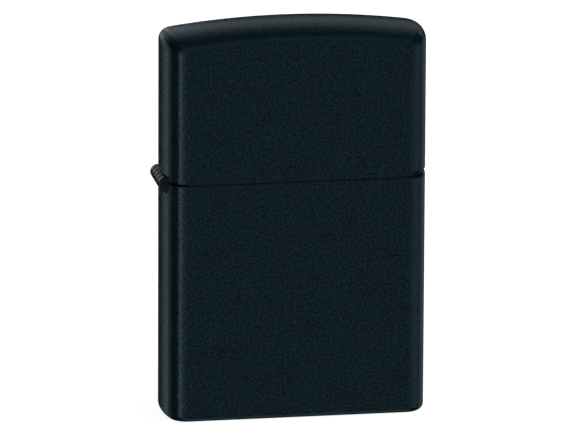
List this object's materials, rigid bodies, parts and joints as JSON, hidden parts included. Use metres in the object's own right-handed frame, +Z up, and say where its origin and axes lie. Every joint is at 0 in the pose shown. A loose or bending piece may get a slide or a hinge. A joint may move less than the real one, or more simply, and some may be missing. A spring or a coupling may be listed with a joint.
{
  "type": "flip-top pocket lighter",
  "caption": "Closed flip-top windproof pocket lighter: a matte black case with a side-hinged lid over a removable insert with chimney, wick, flint wheel and cam.",
  "frame": {"origin": "middle of the flat base that the closed lighter stands on", "axes": "+Z up through the lid; the hinge is on the -X side; the broad faces look along -Y (front) and +Y (back)"},
  "size_m": [0.0378, 0.013, 0.0557],
  "materials": {
    "powder_coat": "fine-grained matte black powder coat",
    "hinge_steel": "black plated steel, semi-gloss",
    "stainless": "brushed stainless",
    "spring_steel": "plain spring steel",
    "tool_steel": "file-cut hardened steel",
    "brass": "turned brass",
    "flint_alloy": "dull pressed alloy",
    "wick_cotton": "braided cotton round fine wire",
    "packing_cotton": "loose fibre wadding",
    "felt": "pressed wool felt"
  },
  "bodies": {
    "case": {"case_bottom": "powder_coat", "hinge_lower_leaf": "hinge_steel", "hinge_pin": "hinge_steel", "insert_shell": "stainless", "insert_top_plate": "stainless", "chimney": "stainless", "cam_rivet": "stainless", "cam_spring": "spring_steel", "flint_wheel_rivet": "stainless", "flint_tube": "brass", "flint_spring": "spring_steel", "flint_screw": "brass", "wick": "wick_cotton", "felt_pad": "felt", "packing_ball_1": "packing_cotton", "packing_ball_2": "packing_cotton", "packing_ball_3": "packing_cotton", "packing_ball_4": "packing_cotton", "packing_ball_5": "packing_cotton"},
    "lid": {"lid": "powder_coat", "hinge_upper_leaf": "hinge_steel"},
    "cam": {"cam": "stainless"},
    "flint_wheel": {"flint_wheel": "tool_steel"},
    "flint": {"flint": "flint_alloy", "flint_spring_tip": "brass"}
  },
  "joints": [
    {"name": "lid_hinge", "type": "hinge", "parent": "case", "child": "lid", "pos_m": [-0.01822, 0, 0.03368], "axis": [0, -1, 0], "range_deg": [0, 125]},
    {"name": "cam_pivot", "type": "hinge", "parent": "case", "child": "cam", "pos_m": [-0.0135, 0, 0.0367], "axis": [0, -1, 0], "range_deg": [0, 66], "deforming": ["cam_spring"]},
    {"name": "flint_wheel_spin", "type": "hinge", "parent": "case", "child": "flint_wheel", "pos_m": [0.0104, 0, 0.0443], "axis": [0, 1, 0], "continuous": true},
    {"name": "flint_feed", "type": "slide", "parent": "case", "child": "flint", "axis": [0, 0, 1], "range_m": [-0.002, 0], "stiffness_N_per_m": 150, "springref_m": 0.004, "deforming": ["flint_spring"]}
  ],
  "couplings": [
    {"joint": "cam_pivot", "follows": "lid_hinge", "ratio": 0.52}
  ]
}
